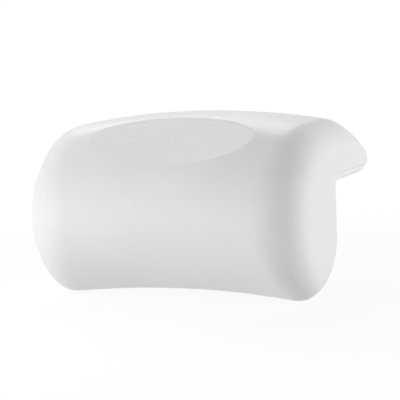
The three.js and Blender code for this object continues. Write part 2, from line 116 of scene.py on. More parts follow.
# Head pad: an oval dish that faces forwards and up
DISH_TILT = math.radians(50)  # facing direction above the horizontal
DISH_SLIDE = 6.8  # brow to the dish's lowest point, up its slope
DISH_OFFSET = 9.7  # the same, inwards
DISH_HALF_WIDTH = 83.0
DISH_HALF_HEIGHT = 29.0
DISH_BOW = 2.8  # droop of the oval's tips
DISH_RADIUS_ALONG = 282.0  # hollowing along the width
DISH_RADIUS_ACROSS = 114.0  # hollowing up the slope
DISH_MARGIN = 12.0  # how far past the oval its edge is looked for
PAD_THICKNESS = 3.0

# Suction cups
CUP_RADIUS = 17.0
CUP_RING = 1.6  # width of the flat sealing ring
CUP_EDGE = 0.9  # thickness at the rim
CUP_HOLLOW = 3.5  # depth of the hollow
CUP_WALL = 2.0  # rubber between the hollow and the stud
CUP_PROUD = 4.0  # how far the ring stands out of its plate
CUP_TRAVEL = 2.5  # how far it can be pressed in
CUP_ROOM = 1.2  # room round the cup in its recess
CUP_FLOOR_ROOM = 0.5  # room under the cup when it is pressed in
STUD_RADIUS = 3.5
STUD_SHOULDER = 1.1  # width of the cone between the cup and its stud
STUD_HEAD_STEP = 1.1  # how far the snap head stands out round the stud
STUD_HEAD_LENGTH = 3.0
STUD_HEAD_TAPER = 1.4  # how much the snap head narrows to its tip
LIP_CUP_INSET = 55.0  # pillow's end to the cup's axis
LIP_CUP_SETBACK = 48.0  # back to the cup's axis
BACK_CUP_INSET = 60.0  # pillow's end to the cup's axis
BACK_CUP_DROP = 22.0  # lip's underside to the cup's axis

# Plates and snap bushes
RECESS_FLOOR = 2.0  # plate left under a cup's recess
BACK_BORDER = 25.0  # pillow's end to the back plate's end
BACK_MARGIN = 6.0  # end of the flat back to the back plate's lower edge
BACK_CORNER = 9.0  # radius of the back plate's lower corners
BUSH_WALL = 1.2
BUSH_COLLAR = 2.5  # length of the narrow bore that the snap head grips

# Steel brackets and their screws
BRACKET_THICKNESS = 2.0
BRACKET_SPACING = 76.0  # centre to centre
LIP_LEG = 66.0  # back to the end of the leg along the lip
BACK_LEG = 38.0  # lip's underside to the end of the leg down the back
SCREW_ROOT = 18.0  # back to the lip leg's first screw
SCREW_TOP = 9.0  # lip's underside to the back leg's first screw
SCREW_EDGE = 9.0  # end of a leg to its last screw
SCREW_RADIUS = 2.0
SCREW_HEAD_RADIUS = 4.0
SCREW_HEAD = 2.2  # height of the countersunk head
SCREW_SINK = 0.4  # depth of the head below the plate's face
SOCKET_RADIUS = 1.4  # hexagon socket, across corners
SOCKET_DEPTH = 1.3

# Sizes that follow from the ones above
DROP = HEIGHT - CROWN_RISE  # lip's underside down to the lowest line
CUP_DEPTH = CUP_HOLLOW + CUP_WALL
RECESS_DEPTH = CUP_DEPTH - CUP_PROUD + CUP_TRAVEL + CUP_FLOOR_ROOM
RECESS_RADIUS = CUP_RADIUS + CUP_ROOM
PLATE = RECESS_DEPTH + RECESS_FLOOR
STUD_ROOT = STUD_RADIUS + STUD_SHOULDER
STUD_HEAD_RADIUS = STUD_RADIUS + STUD_HEAD_STEP
HEAD_START = RECESS_DEPTH + BUSH_COLLAR + CLEARANCE
BUSH_HOLE = STUD_HEAD_RADIUS + CLEARANCE + BUSH_WALL + CLEARANCE
BACK_END = WIDTH / 2 - BACK_BORDER
BACK_LOW = BACK_FLAT - BACK_MARGIN
SCREW_LENGTH = PLATE + CLEARANCE + BRACKET_THICKNESS
SCREW_X = BRACKET_SPACING / 2

# Places along the plates, counted from the hook's corner, with the cups' distance off the middle
LIP_CUP = (WIDTH / 2 - LIP_CUP_INSET, LIP_CUP_SETBACK)
BACK_CUP = (WIDTH / 2 - BACK_CUP_INSET, BACK_CUP_DROP)
LIP_SCREWS = (SCREW_ROOT, LIP_LEG - SCREW_EDGE)
BACK_SCREWS = (SCREW_TOP, BACK_LEG - SCREW_EDGE)

# Joints between pieces, drawn closer than the solids are
SEAM_HEIGHT = PLATE + CLEARANCE / 2  # where the skin meets the lip's plate
SEAM_GAP = 0.08  # gap between the skin and the plates
SEAM_ROUND = 0.27  # rounding of the edges at that gap
RIM_GAP = 0.05  # gap round the head pad
RIM_ROUND = 0.2  # rounding of the edges at that gap

# Cutting surfaces: a level is above 0 where the surface stays
SURELY_CUT = -9.0  # level of what is far on the side that goes
SURELY_KEPT = 50.0  # level of what is far on the side that stays
CUT_REACH = 3.0  # points closer than this to a plane or an edge belong to it
BACK_TOLERANCE = 0.02  # keeps the flat back on the skin's side of the hook's corner
UNDERSIDE_BAND = 1.0  # an edge lower than this lies on the lip's underside
OVERCUT = 1.0  # how far a cutter runs past the face that it opens
CUT_DEPTH = 12.0  # how deep a cutter goes, out through the back of a plate

# Small values that keep divisions safe and join equal points
LEAST_CLIMB = 1e-9
LEAST_LENGTH = 1e-12
MERGE = 1e-6


def to_row(points):
    """Millimetres from the hook's corner to metres in the part's frame."""
    out = np.array(points, float).reshape(-1, 3)
    out[:, 1] -= SEAT_SETBACK
    return out / MM_IN_METRE


# The pillow's form


def curve(a, p, q, b, steps):
    """A cubic curve from a to b with the handles p and q, without its last point."""
    t = (np.arange(steps) / steps)[:, None]
    return (1 - t) ** 3 * a + 3 * (1 - t) ** 2 * t * p + 3 * (1 - t) * t * t * q + t ** 3 * b


def bend(a, b, upright, full, steps):
    """One bend of the side profile, upright at one end and level at the other."""
    first, second = ((0, 1), (1, 0)) if upright else ((1, 0), (0, 1))
    return curve(a, a + full[0] * (b - a) * first, b - full[1] * (b - a) * second, b, steps)


def straight(a, b, steps):
    """A straight line from a to b, without its last point."""
    t = (np.arange(steps) / steps)[:, None]
    return a * (1 - t) + b * t


def side_profile():
    """Points (y, z) down the back, round the front, over the crown and under the lip, with their roll."""
    corner = np.zeros(2)
    back_low = np.array((0, -BACK_FLAT))
    lowest = np.array((-LOW_LINE, -DROP))
    belly = np.array((-DEPTH, -BELLY_DROP))
    brow = np.array((-BROW_DEPTH, BROW_RISE))
    crown = np.array((CROWN_SETBACK, CROWN_RISE))
    nose = np.array((LIP_REACH, NOSE_HEIGHT))
    under = np.array((LIP_REACH - NOSE_RUN, 0))
    climb = np.array((math.cos(BROW_SLOPE), math.sin(BROW_SLOPE)))
    rise, run = np.linalg.norm(brow - belly), np.linalg.norm(crown - brow)
    from_belly = belly + FRONT_FULL[0] * (brow - belly) * (0, 1)
    to_brow = brow - FRONT_FULL[1] * rise * climb
    from_brow = brow + BROW_FULL[0] * run * climb
    to_crown = crown - BROW_FULL[1] * (crown - brow) * (1, 0)
    turn = np.pi / 2 * np.arange(NOSE_STEPS) / NOSE_STEPS
    arc = under + np.stack([NOSE_RUN * np.cos(turn), NOSE_HEIGHT * (1 - np.sin(turn))], 1)
    stretches = [
        (straight(corner, back_low, BACK_STEPS), ROLL_BACK, ROLL_BACK),
        (bend(back_low, lowest, True, LOW_BACK_FULL, LOW_BACK_STEPS), ROLL_BACK, ROLL_BOTTOM),
        (bend(lowest, belly, False, LOW_FRONT_FULL, LOW_FRONT_STEPS), ROLL_BOTTOM, ROLL_FRONT),
        (curve(belly, from_belly, to_brow, brow, FRONT_STEPS), ROLL_FRONT, ROLL_BROW),
        (curve(brow, from_brow, to_crown, crown, BROW_STEPS), ROLL_BROW, ROLL_TOP),
        (bend(crown, nose, False, TOP_FULL, TOP_STEPS), ROLL_TOP, ROLL_NOSE),
        (arc, ROLL_NOSE, ROLL_NOSE),
        (straight(under, corner, UNDER_STEPS), ROLL_NOSE, ROLL_BACK),
    ]
    rolls = []
    for points, start, end in stretches:
        t = np.arange(len(points)) / len(points)
        rolls.append(start + (end - start) * t * t * (3 - 2 * t))
    return np.concatenate([points for points, _, _ in stretches]), np.concatenate(rolls)


def inward_of(profile):
    """The direction into the profile at each point, square to a long chord round it."""
    closed = np.concatenate([profile, profile[:1]])
    length = np.concatenate([[0], np.cumsum(np.linalg.norm(np.diff(closed, axis=0), axis=1))])

    def at(place):
        return np.stack([np.interp(place % length[-1], length, closed[:, i]) for i in range(2)], 1)

    chord = at(length[:-1] + ROLL_CHORD / 2) - at(length[:-1] - ROLL_CHORD / 2)
    chord /= np.linalg.norm(chord, axis=1, keepdims=True)
    return np.stack([chord[:, 1], -chord[:, 0]], 1)


def arch(points):
    """Arches the crown and the lowest line, and hollows the front, towards the middle of the width."""
    out = np.array(points, float)
    share = 1 - (out[..., 0] / (WIDTH / 2)) ** 2
    y, z = out[..., 1].copy(), out[..., 2].copy()
    out[..., 1] = y + share * FRONT_HOLLOW * np.maximum(0, -y / DEPTH)
    out[..., 2] = z + share * np.where(z > 0, TOP_ARCH * z / CROWN_RISE, -BOTTOM_ARCH * z / DROP)
    return out


def whole_form(along=44, round_steps=18, pitch=4.0):
    """The pillow's closed outer surface as (points, faces), in millimetres."""
    profile, roll = side_profile()
    inward = inward_of(profile)
    start_x = WIDTH / 2 - roll
    rings = [np.column_stack([start_x * i / along, profile]) for i in range(along + 1)]
    for i in range(1, round_steps + 1):
        t = np.pi / 2 * i / round_steps
        drawn = profile + inward * (roll * (1 - np.cos(t)))[:, None]
        rings.append(np.column_stack([start_x + roll * np.sin(t), drawn]))
    half = np.stack(rings)
    grid = np.concatenate([half[:0:-1] * (-1, 1, 1), half])
    stations, count = grid.shape[:2]
    faces = []
    for r in range(stations - 1):
        for i in range(count):
            k = (i + 1) % count
            faces.append((r * count + i, (r + 1) * count + i, (r + 1) * count + k, r * count + k))
    points = [grid.reshape(-1, 3)]
    total = stations * count
    fill, triangles = end_fill(profile + inward * roll[:, None], pitch)
    for side, first in ((-1, 0), (1, (stations - 1) * count)):
        lookup = list(range(first, first + count)) + list(range(total, total + len(fill)))
        points.append(np.column_stack([np.full(len(fill), side * WIDTH / 2), fill]))
        total += len(fill)
        for a, b, c in triangles:
            faces.append((lookup[a], lookup[b], lookup[c])[::side])
    return arch(np.concatenate(points)), faces


def end_fill(outline, pitch, clear=0.45):
    """Points inside an end's outline, on a regular grid, and triangles over both that face +X.

    The points keep off the outline by the share of the pitch that clear gives.
    """
    low, high = outline.min(0), outline.max(0)
    ys, zs = (np.arange(a + pitch / 2, b, pitch) for a, b in zip(low, high))
    spots = np.stack(np.meshgrid(ys, zs, indexing="ij"), -1).reshape(-1, 2)
    ahead = np.roll(outline, -1, 0)
    y, z = spots[:, :1], spots[:, 1:]
    crossing = (outline[:, 1] > z) != (ahead[:, 1] > z)
    climb = np.where(ahead[:, 1] == outline[:, 1], LEAST_CLIMB, ahead[:, 1] - outline[:, 1])
    slope = (ahead[:, 0] - outline[:, 0]) / climb
    inside = (crossing & (y < outline[:, 0] + (z - outline[:, 1]) * slope)).sum(1) % 2 == 1
    away = np.min(np.hypot(y - outline[:, 0], z - outline[:, 1]), 1) > pitch * clear
    spots = spots[inside & away]
    corners = [Vector(p) for p in np.concatenate([outline, spots])]
    edges = [(i, (i + 1) % len(outline)) for i in range(len(outline))]
    only_inside = 1
    places, _, faces, origin, *_ = geometry.delaunay_2d_cdt(corners, edges, [], only_inside, MERGE)
    given = [min(o) if o else None for o in origin]
    triangles = []
    for face in faces:
        a, b, c = (places[i] for i in face)
        triangle = tuple(given[i] for i in face)
        if None not in triangle and len(set(triangle)) == 3:
            triangles.append(triangle if (b - a).cross(c - a) > 0 else triangle[::-1])
    return spots, triangles


# The head pad's dish, in a frame tilted to face the head

DISH_OUT = np.array([-math.cos(DISH_TILT), math.sin(DISH_TILT)])
DISH_UP = np.array([math.sin(DISH_TILT), math.cos(DISH_TILT)])
brow_middle = arch([[0, -BROW_DEPTH, BROW_RISE]])[0, 1:]
dish_foot = brow_middle + DISH_UP * DISH_SLIDE - DISH_OUT * DISH_OFFSET


def dish_rise(x, slope):
    """How far the dish's surface has risen from its lowest point."""
    return x ** 2 / (2 * DISH_RADIUS_ALONG) + slope ** 2 / (2 * DISH_RADIUS_ACROSS)


def dish_frame(points):
    """Across, up the slope and out of the dish's surface."""
    delta = points[:, 1:] - dish_foot
    x, slope = points[:, 0], delta @ DISH_UP
    return x, slope, delta @ DISH_OUT - dish_rise(x, slope)


def dish_points(x, slope, height):
    """Points at a height over the dish's surface, back in millimetres from the hook's corner."""
    out = dish_rise(x, slope) + height
    return np.column_stack([x, dish_foot + slope[:, None] * DISH_UP + out[:, None] * DISH_OUT])


def oval_place(x, slope):
    """The place in the oval, as an angle and a share of a plain ellipse with drooping tips."""
    across = x / DISH_HALF_WIDTH
    up = (slope + DISH_BOW * across ** 2) / DISH_HALF_HEIGHT
    return np.arctan2(up, across), np.hypot(across, up)


# Cutting and joining meshes


def clip(points, faces, level, near=0.04):
    """Keeps the part of a surface where level is above 0, cut along its zero line.

    A point nearer to that line than near counts as just inside it.
    """
    points = [tuple(p) for p in points]
    made, kept = {}, []
    level = np.where(np.abs(level) < near, near, level)

    def crossing(a, b):
        a, b = min(a, b), max(a, b)
        if (a, b) not in made:
            t = level[a] / (level[a] - level[b])
            made[a, b] = len(points)
            points.append(tuple(np.array(points[a]) * (1 - t) + np.array(points[b]) * t))
        return made[a, b]

    for face in faces:
        stays = [level[i] > 0 for i in face]
        if all(stays):
            kept.append(face)
        elif any(stays):
            ring = []
            for i, a in enumerate(face):
                b = face[(i + 1) % len(face)]
                if level[a] > 0:
                    ring.append(a)
                if (level[a] > 0) != (level[b] > 0):
                    ring.append(crossing(a, b))
            kept.append(tuple(ring))
    used = sorted({i for face in kept for i in face})
    lookup = {old: new for new, old in enumerate(used)}
    return np.array(points)[used], [tuple(lookup[i] for i in face) for face in kept]


def open_loops(faces):
    """The open edges of a surface as ordered loops, each with the surface on its left."""
    edges = {(a, face[(i + 1) % len(face)]) for face in faces for i, a in enumerate(face)}
    ahead = {a: b for a, b in sorted(edges) if (b, a) not in edges}
    loops = []
    while ahead:
        here = next(iter(ahead))
        loop = []
        while here in ahead:
            loop.append(here)
            here = ahead.pop(here)
        loops.append(loop)
    return loops


def normals_of(points, faces):
    """The surface's normal at each point, from the faces round it."""
    total = np.zeros_like(points)
    for face in faces:
        p = points[list(face)]
        normal = sum(np.cross(p[i] - p[0], p[i + 1] - p[0]) for i in range(1, len(face) - 1))
        total[list(face)] += normal
    return total / np.maximum(np.linalg.norm(total, axis=1, keepdims=True), LEAST_LENGTH)


def edge_lip(points, faces, loop, radius, depth, steps=4, smooth=2, closed=False):
    """Turns a surface in at an open edge: a round of the given radius, then a wall.

    A closed one gets a lid too, and its wall runs level wherever the edge is above the lip's underside.
    """
    normal = normals_of(points, faces)[loop]
    line = points[loop]
    outward = np.cross(np.roll(line, -1, 0) - np.roll(line, 1, 0), normal)
    outward /= np.maximum(np.linalg.norm(outward, axis=1, keepdims=True), LEAST_LENGTH)
    for _ in range(smooth):
        outward = outward + (np.roll(outward, 1, 0) + np.roll(outward, -1, 0)) / 2
        outward /= np.linalg.norm(outward, axis=1, keepdims=True)
    rows = []
    for i in range(1, steps + 1):
        t = np.pi / 2 * i / steps
        rows.append(line + outward * radius * math.sin(t) - normal * radius * (1 - math.cos(t)))
    inward = -normal
    if closed:
        inward[:, 2] *= line[:, 2] < UNDERSIDE_BAND
        inward /= np.linalg.norm(inward, axis=1, keepdims=True)
    rows.append(line + outward * radius + inward * depth)
    points, faces = [points], list(faces)
    before, total = list(loop), len(points[0])
    for row in rows:
        now = list(range(total, total + len(loop)))
        for i in range(len(loop)):
            k = (i + 1) % len(loop)
            faces.append((before[k], before[i], now[i], now[k]))
        points.append(row)
        before, total = now, total + len(loop)
    if closed:
        points.append(rows[-1].mean(0)[None])
        faces += [(before[(i + 1) % len(loop)], before[i], total) for i in range(len(loop))]
    return np.concatenate(points), faces


def lofted(rings):
    """A closed surface over rings of equal counts, with a middle point at either end."""
    sides, count = len(rings[0]), len(rings)
    points = np.concatenate([rings[0].mean(0)[None], *rings, rings[-1].mean(0)[None]])
    faces = []
    for i in range(sides):
        k = (i + 1) % sides
        faces.append((0, 1 + k, 1 + i))
        for r in range(count - 1):
            a, b = 1 + r * sides, 1 + (r + 1) * sides
            faces.append((a + i, a + k, b + k, b + i))
        faces.append((1 + count * sides, 1 + (count - 1) * sides + i, 1 + (count - 1) * sides + k))
    return points, faces


def turned(pairs, sides=72):
    """A closed turned surface from (radius, depth) pairs, the radius a number or one for each side."""
    turn = 2 * np.pi * np.arange(sides) / sides
    rings = []
    for radius, depth in pairs:
        across, up = radius * np.cos(turn), radius * np.sin(turn)
        rings.append(np.column_stack([across, up, np.full(sides, depth)]))
    return lofted(rings)


def on_lip(shape, x, run):
    """Sets a turned shape into the lip's plate: depth runs up from the lip's underside."""
    points, faces = shape
    return points + (x, run, 0), faces


def on_back(shape, x, run):
    """Sets a turned shape into the back's plate: depth runs forwards from the back."""
    points, faces = shape
    return np.column_stack([points[:, 0] + x, -points[:, 2], points[:, 1] - run]), faces


def new_mesh(name, shape, body="pillow", sharp=None, closed=False):
    """A smooth mesh object in the part's frame that rides on a body."""
    points, faces = shape
    mesh = bpy.data.meshes.new(name)
    mesh.from_pydata([tuple(p) for p in to_row(points)], [], [tuple(f) for f in faces])
    mesh.validate()
    if closed:
        work = bmesh.new()
        work.from_mesh(mesh)
        bmesh.ops.recalc_face_normals(work, faces=work.faces)
        work.to_mesh(mesh)
        work.free()
    mesh.shade_smooth()
    if sharp is not None:
        mesh.set_sharp_from_angle(angle=math.radians(sharp))
    obj = bpy.data.objects.new(name, mesh)
    bpy.context.scene.collection.objects.link(obj)
    if body:
        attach(obj, body)
    return obj


def cut(obj, shapes, sharp):
    """Takes closed shapes out of an object's mesh."""
    points, faces, total = [], [], 0
    for shape_points, shape_faces in shapes:
        points.append(shape_points)
        faces += [tuple(i + total for i in face) for face in shape_faces]
        total += len(shape_points)
    tool = new_mesh("cutter", (np.concatenate(points), faces), body=None, closed=True)
    change = obj.modifiers.new("cut", "BOOLEAN")
    change.operation, change.solver, change.object = "DIFFERENCE", "EXACT", tool
    ready = obj.evaluated_get(bpy.context.evaluated_depsgraph_get())
    mesh = bpy.data.meshes.new_from_object(ready)
    mesh.name = obj.name
    obj.modifiers.clear()
    obj.data = mesh
    mesh.set_sharp_from_angle(angle=math.radians(sharp))
    bpy.data.objects.remove(tool)


# Materials

NOISE, CELLS = "ShaderNodeTexNoise", "ShaderNodeTexVoronoi"


def material(name, base, rough, build, **constants):
    """A material with plain values for its shader, and a function that adds its textures."""
    mat = bpy.data.materials.new(name)
    mat.use_nodes = True
    shader = mat.node_tree.nodes["Principled BSDF"]
    shader.inputs["Base Color"].default_value = (*base, 1)
    shader.inputs["Roughness"].default_value = rough
    for socket, value in constants.items():
        shader.inputs[socket.replace("_", " ")].default_value = value
    build(mat.node_tree, shader)
    return mat


def texture(tree, kind, scale, **values):
    """A texture in the object's own coordinates, so it moves with the piece."""
    coordinates = tree.nodes.new("ShaderNodeTexCoord")
    node = tree.nodes.new(kind)
    node.inputs["Scale"].default_value = scale
    for socket, value in values.items():
        node.inputs[socket].default_value = value
    tree.links.new(coordinates.outputs["Object"], node.inputs["Vector"])
    return node


def tint(tree, shader, source, low, high, start=0.3, end=0.7):
    """Varies the base colour between two colours with a texture's value."""
    ramp = tree.nodes.new("ShaderNodeValToRGB")
    ramp.color_ramp.elements[0].position = start
    ramp.color_ramp.elements[1].position = end
    ramp.color_ramp.elements[0].color = (*low, 1)
    ramp.color_ramp.elements[1].color = (*high, 1)
    tree.links.new(source, ramp.inputs["Fac"])
    tree.links.new(ramp.outputs["Color"], shader.inputs["Base Color"])


def vary_roughness(tree, shader, source, low, high):
    """Varies the roughness between two values with a texture's value."""
    span = tree.nodes.new("ShaderNodeMapRange")
    span.inputs["To Min"].default_value = low
    span.inputs["To Max"].default_value = high
    tree.links.new(source, span.inputs["Value"])
    tree.links.new(span.outputs["Result"], shader.inputs["Roughness"])


def bump(tree, shader, source, strength, distance, below=None):
    """Raises the surface with a texture's value, over another bump if one is given."""
    node = tree.nodes.new("ShaderNodeBump")
    node.inputs["Strength"].default_value = strength
    node.inputs["Distance"].default_value = distance
    tree.links.new(source, node.inputs["Height"])
    if below:
        tree.links.new(below.outputs["Normal"], node.inputs["Normal"])
    tree.links.new(node.outputs["Normal"], shader.inputs["Normal"])
    return node


def skin_look(tree, shader):
    cloud = texture(tree, NOISE, scale=14, Detail=3)
    tint(tree, shader, cloud.outputs["Fac"], low=(0.80, 0.80, 0.798), high=(0.825, 0.825, 0.823))
    grain = texture(tree, NOISE, scale=800, Detail=3)
    vary_roughness(tree, shader, grain.outputs["Fac"], low=0.28, high=0.40)
    first = bump(tree, shader, grain.outputs["Fac"], strength=0.35, distance=0.0008)
    swell = texture(tree, NOISE, scale=60, Detail=2)
    bump(tree, shader, swell.outputs["Fac"], strength=0.05, distance=0.002, below=first)


def pad_look(tree, shader):
    cloud = texture(tree, NOISE, scale=280, Detail=4, Roughness=0.65)
    tint(tree, shader, cloud.outputs["Fac"], low=(0.865, 0.865, 0.863), high=(0.935, 0.935, 0.933))
    cells = texture(tree, CELLS, scale=620)
    vary_roughness(tree, shader, cells.outputs["Distance"], low=0.6, high=0.75)
    first = bump(tree, shader, cells.outputs["Distance"], strength=0.35, distance=0.0006)
    fine = texture(tree, NOISE, scale=2200, Detail=2)
    bump(tree, shader, fine.outputs["Fac"], strength=0.2, distance=0.0003, below=first)


def plate_look(tree, shader):
    cloud = texture(tree, NOISE, scale=30, Detail=2)
    tint(tree, shader, cloud.outputs["Fac"], low=(0.82, 0.82, 0.818), high=(0.85, 0.85, 0.848))
    grain = texture(tree, NOISE, scale=2600, Detail=2)
    vary_roughness(tree, shader, grain.outputs["Fac"], low=0.38, high=0.5)
    bump(tree, shader, grain.outputs["Fac"], strength=0.08, distance=0.0003)


def foam_look(tree, shader):
    cells = texture(tree, CELLS, scale=900)
    # Painted shade in the pores: the pits of the cells, sunk by the bump below, are tinted darker than
    # the walls between them
    dark, pale = (0.55, 0.52, 0.44), (0.84, 0.81, 0.72)
    tint(tree, shader, cells.outputs["Distance"], low=dark, high=pale, start=0.1, end=0.6)
    bump(tree, shader, cells.outputs["Distance"], strength=0.8, distance=0.0008)


def bush_look(tree, shader):
    grain = texture(tree, NOISE, scale=1800, Detail=2)
    tint(tree, shader, grain.outputs["Fac"], low=(0.44, 0.45, 0.46), high=(0.5, 0.51, 0.52))
    bump(tree, shader, grain.outputs["Fac"], strength=0.1, distance=0.0003)


def cup_look(tree, shader):
    cloud = texture(tree, NOISE, scale=90, Detail=2)
    tint(tree, shader, cloud.outputs["Fac"], low=(0.62, 0.66, 0.67), high=(0.66, 0.70, 0.71))
    vary_roughness(tree, shader, cloud.outputs["Fac"], low=0.3, high=0.4)
    fine = texture(tree, NOISE, scale=1800, Detail=2)
    bump(tree, shader, fine.outputs["Fac"], strength=0.03, distance=0.0002)


def steel_look(tree, shader):
    brushed = texture(tree, NOISE, scale=500, Detail=4)
    tint(tree, shader, brushed.outputs["Fac"], low=(0.5, 0.5, 0.51), high=(0.62, 0.62, 0.63))
    vary_roughness(tree, shader, brushed.outputs["Fac"], low=0.26, high=0.42)
    bump(tree, shader, brushed.outputs["Fac"], strength=0.05, distance=0.0003)


LOOKS = {
    "skin": material("skin_moulded", (0.81, 0.81, 0.81), 0.34, skin_look, Specular_IOR_Level=0.5),
    "pad": material("pad_grained", (0.9, 0.9, 0.898), 0.68, pad_look, Specular_IOR_Level=0.35),
    "plate": material("plate_plastic", (0.83, 0.83, 0.83), 0.45, plate_look),
    "foam": material("foam_open", (0.8, 0.78, 0.7), 0.95, foam_look),
    "bush": material("bush_plastic", (0.47, 0.48, 0.49), 0.42, bush_look),
    "cup": material("cup_rubber", (0.64, 0.68, 0.69), 0.35, cup_look, Subsurface_Weight=0.3, IOR=1.42),
    "steel": material("steel_brushed", (0.58, 0.58, 0.59), 0.34, steel_look, Metallic=1.0),
}


def dress(obj, slot, node):
    """Gives a piece its material and puts it in the place of a CAD node."""
    obj.data.materials.clear()
    obj.data.materials.append(LOOKS[slot])
    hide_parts(node)


# The skin: the whole form, opened for the head pad, the lip's plate and the back's plate
form_points, form_faces = whole_form()


def oval_line():
    """Where the dish comes out of the form: angles round the oval and the share of its ellipse there."""
    _, slope, height = dish_frame(form_points)
    in_width = np.abs(form_points[:, 0]) < DISH_HALF_WIDTH + DISH_MARGIN
    in_height = np.abs(slope) < DISH_HALF_HEIGHT + DISH_MARGIN
    near = in_width & in_height & (height > -DISH_OFFSET)
    points, faces = clip(form_points, form_faces, np.where(near, height, SURELY_CUT))
    longest = max(open_loops(faces), key=len)
    x, slope, _ = dish_frame(points[longest])
    angle, share = oval_place(x, slope)
    order = np.argsort(angle)
    return angle[order], share[order]


oval_angles, oval_shares = oval_line()


def oval_reach(angle):
    """The share of the plain ellipse that the oval reaches at an angle."""
    return np.interp(angle, oval_angles, oval_shares, period=2 * np.pi)


def oval_level(points):
    """Distance outside the oval in millimetres, roughly, and far outside away from the dish."""
    x, slope, height = dish_frame(points)
    angle, share = oval_place(x, slope)
    normal_length = np.hypot(DISH_HALF_HEIGHT * np.cos(angle), DISH_HALF_WIDTH * np.sin(angle))
    mm_per_share = DISH_HALF_WIDTH * DISH_HALF_HEIGHT / normal_length
    outside = (share - oval_reach(angle)) * mm_per_share
    return np.where(height > -DISH_OFFSET, outside, SURELY_KEPT)


def lip_level(points):
    """Above 0 where the skin stays, clear of the plate under the lip."""
    in_front = BACK_TOLERANCE - points[:, 1]
    above = points[:, 2] - SEAM_HEIGHT - SEAM_GAP / 2 - SEAM_ROUND
    return np.maximum(in_front, above)


def window_level(points):
    """Above 0 where the skin stays, clear of the plate in the back."""
    grow = SEAM_GAP + SEAM_ROUND
    radius, side, low = BACK_CORNER + grow, BACK_END + grow, BACK_LOW + grow
    past_x = np.abs(points[:, 0]) - (side - radius)
    past_z = -points[:, 2] - (low - radius)
    corner = np.hypot(np.maximum(past_x, 0), np.maximum(past_z, 0))
    outside = corner + np.minimum(np.maximum(past_x, past_z), 0) - radius
    near_back = (np.abs(points[:, 1]) < CUT_REACH) & (points[:, 2] < PLATE + CUT_REACH)
    return np.where(near_back, outside, SURELY_KEPT)


def make_skin():
    """The form without its openings, turned in at each of them."""
    points, faces = clip(form_points, form_faces, oval_level(form_points) - RIM_GAP / 2 - RIM_ROUND)
    points, faces = clip(points, faces, lip_level(points))
    points, faces = clip(points, faces, window_level(points))
    for loop in open_loops(faces):
        on_oval = np.abs(oval_level(points[loop])).max() < CUT_REACH
        radius, depth = (RIM_ROUND, PAD_THICKNESS) if on_oval else (SEAM_ROUND, SKIN)
        points, faces = edge_lip(points, faces, loop, radius, depth)
    return points, faces


skin = new_mesh("skin_shell", make_skin())
dress(skin, "skin", "outer_skin")


# The head pad: a grained oval inlay with a rounded rim, flush with the skin
def make_pad(sides=160, front_rings=26, back_rings=6, round_steps=4, chamfer=0.4):
    turn = 2 * np.pi * np.arange(sides) / sides - np.pi
    reach = oval_reach(turn)
    edge = RIM_GAP / 2 + RIM_ROUND

    def ring(inset, height, share=1.0):
        x = share * (reach * DISH_HALF_WIDTH - inset) * np.cos(turn)
        droop = DISH_BOW * (x / DISH_HALF_WIDTH) ** 2
        slope = share * (reach * DISH_HALF_HEIGHT - inset) * np.sin(turn) - droop
        return dish_points(x, slope, height)

    rows = [ring(edge, 0.0, r / front_rings) for r in range(1, front_rings + 1)]
    for i in range(1, round_steps + 1):
        t = np.pi / 2 * i / round_steps
        rows.append(ring(edge - RIM_ROUND * math.sin(t), -RIM_ROUND * (1 - math.cos(t))))
    rows.append(ring(RIM_GAP / 2, chamfer - PAD_THICKNESS))
    rows.append(ring(edge, -PAD_THICKNESS))
    rows += [ring(edge, -PAD_THICKNESS, r / back_rings) for r in range(back_rings - 1, 0, -1)]
    return lofted(rows)


pad = new_mesh("pad_inlay", make_pad(), closed=True)
dress(pad, "pad", "head_pad")


# The foam core, which the skin and the plates close in
def make_core(longest=0.012):
    """The CAD solid, with its edges over the longest length, in metres, split in two."""
    mesh = frame["nodes"]["foam_core"].data.copy()
    mesh.name = "core_foam"
    work = bmesh.new()
    work.from_mesh(mesh)
    bmesh.ops.remove_doubles(work, verts=work.verts, dist=MERGE)
    bmesh.ops.subdivide_edges(work, edges=[e for e in work.edges if e.calc_length() > longest], cuts=1)
    work.to_mesh(mesh)
    work.free()
    obj = bpy.data.objects.new("core_foam", mesh)
    bpy.context.scene.collection.objects.link(obj)
    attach(obj, "pillow")
    return obj


core = make_core()
dress(core, "foam", "foam_core")


# The plates, with chamfered recesses for the cups and countersunk holes for the screws
def recess(chamfer=0.5, floor_chamfer=0.4):
    return turned([
        (RECESS_RADIUS + chamfer + OVERCUT, -OVERCUT),
        (RECESS_RADIUS, chamfer),
        (RECESS_RADIUS, RECESS_DEPTH - floor_chamfer),
        (RECESS_RADIUS - floor_chamfer, RECESS_DEPTH),
        (BUSH_HOLE, RECESS_DEPTH),
        (BUSH_HOLE, CUT_DEPTH),
    ], sides=96)


def screw_hole(chamfer=0.3):
    head, shank = SCREW_HEAD_RADIUS + CLEARANCE, SCREW_RADIUS + CLEARANCE
    return turned([
        (head + chamfer, -OVERCUT),
        (head + chamfer, SCREW_SINK - chamfer),
        (head, SCREW_SINK),
        (shank, SCREW_SINK + SCREW_HEAD),
        (shank, CUT_DEPTH),
    ], sides=48)


def plate_cuts(place, cup, runs):
    """What a plate is cut by: on each side a cup's recess and the screws' holes."""
    shapes = []
    for _, side in SIDES:
        shapes.append(place(recess(), side * cup[0], cup[1]))
        shapes += [place(screw_hole(), side * SCREW_X, run) for run in runs]
    return shapes


def make_lip_plate(lid_drop=0.4):
    """The part of the form under the seam, closed by a lid that ends lower at the front."""
    top, front = SEAM_HEIGHT - SEAM_GAP / 2, CLEARANCE / 2
    level = np.minimum(form_points[:, 1] - front - SEAM_ROUND, top - SEAM_ROUND - form_points[:, 2])
    points, faces = clip(form_points, form_faces, level)
    loop = max(open_loops(faces), key=len)
    return edge_lip(points, faces, loop, SEAM_ROUND, top - lid_drop, closed=True)


